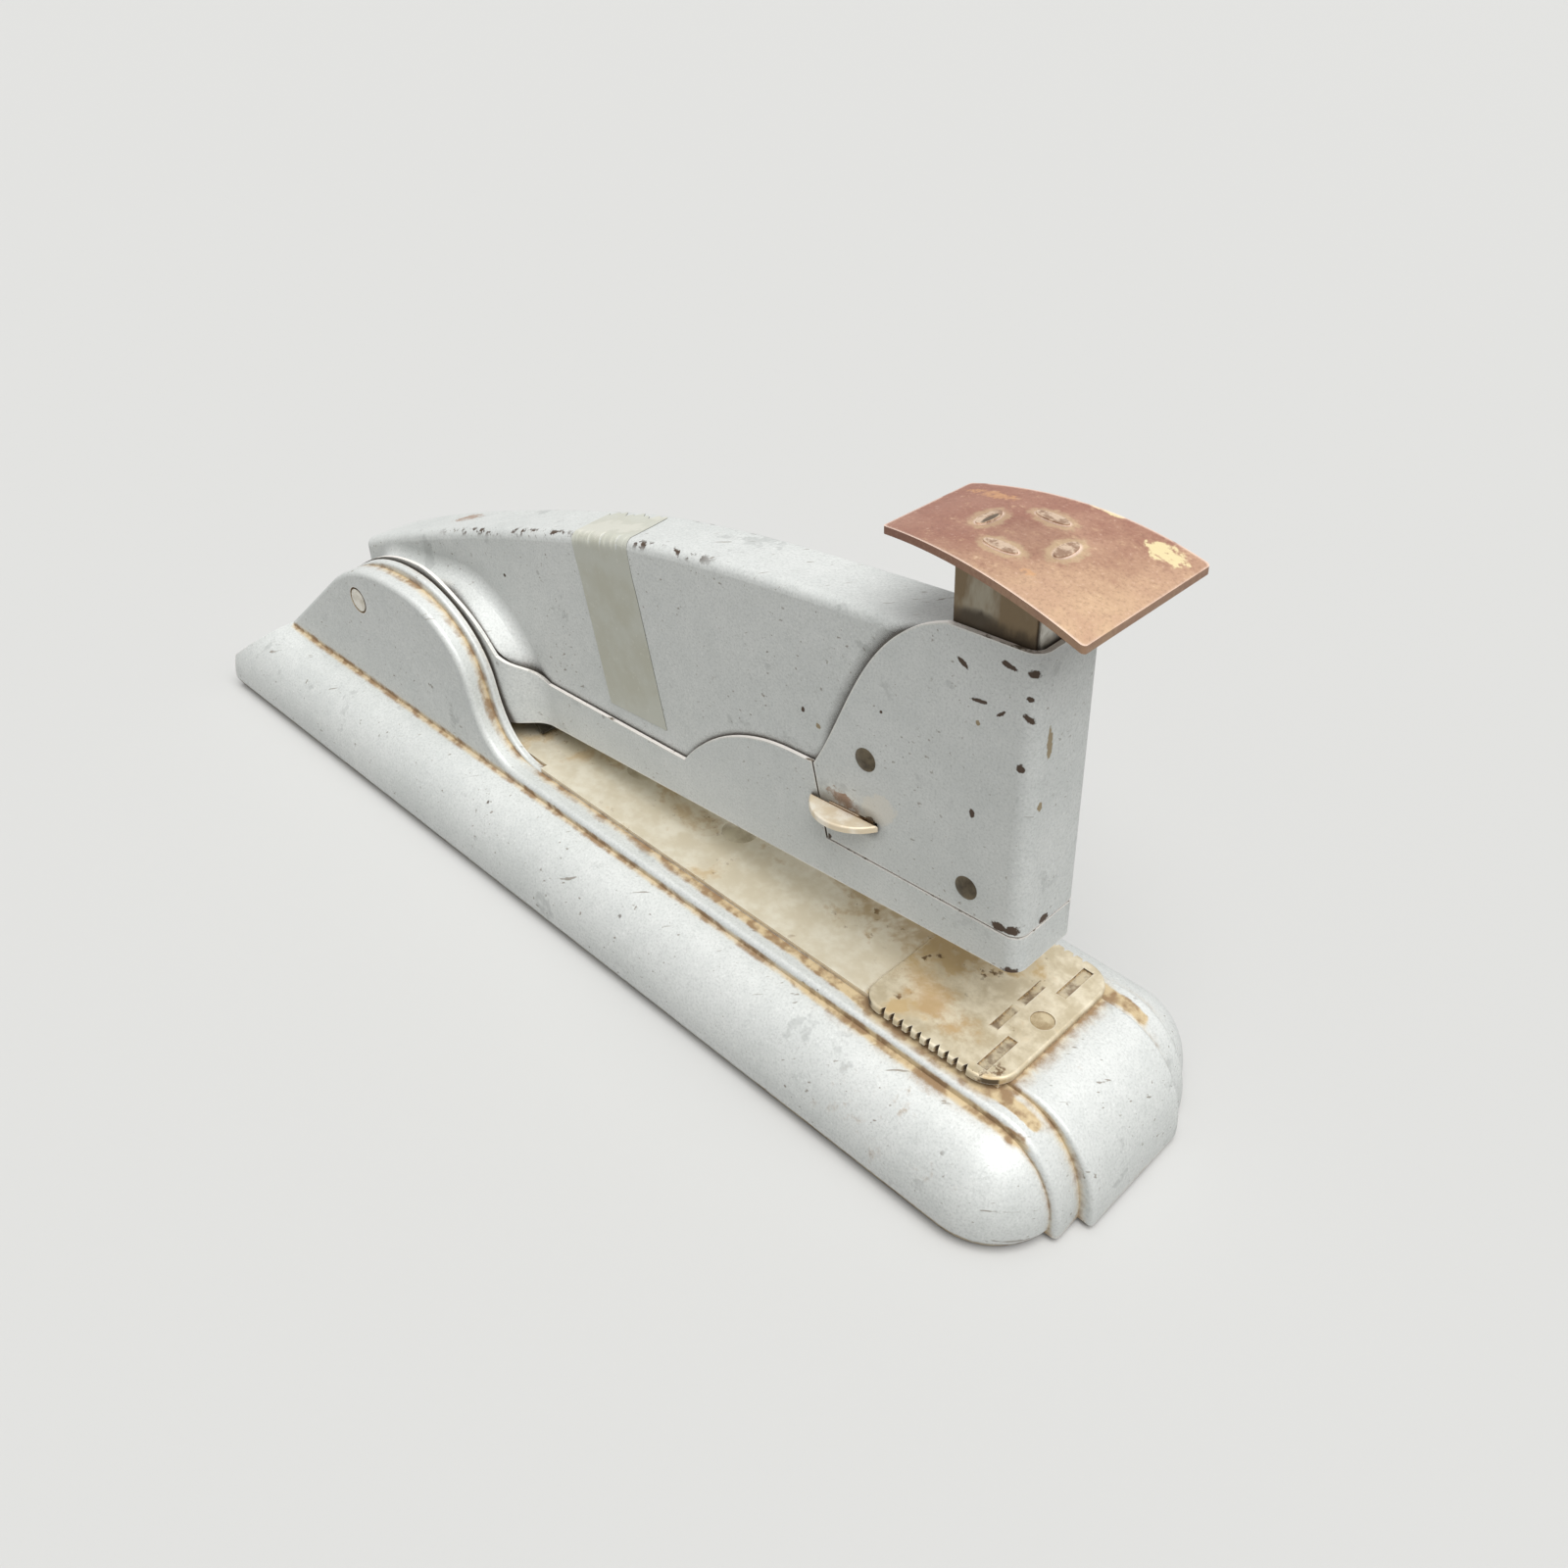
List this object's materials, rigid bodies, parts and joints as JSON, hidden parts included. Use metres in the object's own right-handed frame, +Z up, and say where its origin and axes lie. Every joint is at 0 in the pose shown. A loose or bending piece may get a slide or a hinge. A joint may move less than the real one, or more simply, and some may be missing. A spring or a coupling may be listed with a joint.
{
  "type": "stapler",
  "caption": "Desk stapler with a rounded cast base, hinged sprung arm, lifting cover, struck cap on a plunger and a sliding anvil.",
  "frame": {"origin": "on the table, under the middle of the base's length and width", "axes": "+X towards the end where the staple leaves, +Z up; the release tab is on the -Y side"},
  "size_m": [0.222, 0.0584, 0.0993],
  "materials": {
    "grey_paint": "aluminium paint, satin, chipped at the edges",
    "dull_nickel": "worn nickel plate, stained",
    "bronze": "bronze lacquer worn at the edges",
    "bright_steel": "bright steel",
    "dark_rivet": "darkened steel",
    "tab_steel": "dirty nickel plate",
    "staple_wire": "bright wire",
    "spring_steel": "oiled spring steel",
    "rubber": "matt"
  },
  "bodies": {
    "base": {"base_shell": "grey_paint", "platform_plate": "dull_nickel", "platform_rivets": "bright_steel", "spring_rivet": "bright_steel", "arm_spring": "spring_steel", "rubber_feet": "rubber", "hinge_pin": "bright_steel"},
    "anvil": {"anvil_plate": "dull_nickel", "anvil_stud": "bright_steel", "anvil_clip": "bright_steel"},
    "magazine": {"magazine_channel": "grey_paint", "staple_rail": "bright_steel", "rail_rivets": "bright_steel", "staple_strip": "staple_wire", "rod_bracket": "bright_steel", "guide_rod": "bright_steel", "follower_spring": "spring_steel"},
    "follower": {"staple_follower": "bright_steel"},
    "cover": {"top_cover": "grey_paint", "pivot_bush": "bright_steel", "head_housing": "grey_paint", "head_rivets": "dark_rivet", "spring_seat": "bright_steel", "plunger_spring": "spring_steel", "latch_spring": "spring_steel"},
    "plunger": {"striking_cap": "bronze", "plunger_box": "dull_nickel", "driver_blade": "bright_steel", "blade_rivets": "bright_steel"},
    "latch": {"release_tab": "tab_steel"}
  },
  "joints": [
    {"name": "arm_pivot", "type": "hinge", "parent": "base", "child": "magazine", "pos_m": [-0.069, 0, 0.036], "axis": [0, -1, 0], "range_deg": [-4.7, 0], "stiffness_Nm_per_rad": 6, "springref_deg": 5.73, "deforming": ["arm_spring"]},
    {"name": "cover_swing", "type": "hinge", "parent": "magazine", "child": "cover", "pos_m": [-0.069, 0, 0.036], "axis": [0, -1, 0], "range_deg": [0, 75]},
    {"name": "plunger_slide", "type": "slide", "parent": "cover", "child": "plunger", "axis": [-0.0941, 0, 0.9956], "range_m": [-0.0062, 0], "stiffness_N_per_m": 1500, "springref_m": 0.004, "deforming": ["plunger_spring"]},
    {"name": "follower_slide", "type": "slide", "parent": "magazine", "child": "follower", "axis": [0.9956, 0, 0.0941], "range_m": [-0.03, 0], "stiffness_N_per_m": 60, "springref_m": 0.05, "deforming": ["follower_spring"]},
    {"name": "release_slide", "type": "slide", "parent": "cover", "child": "latch", "axis": [0.9956, 0, 0.0941], "range_m": [0, 0.0035], "stiffness_N_per_m": 500, "springref_m": -0.003, "deforming": ["latch_spring"]},
    {"name": "anvil_slide", "type": "slide", "parent": "base", "child": "anvil", "axis": [1, 0, 0], "range_m": [-0.008, 0]}
  ]
}
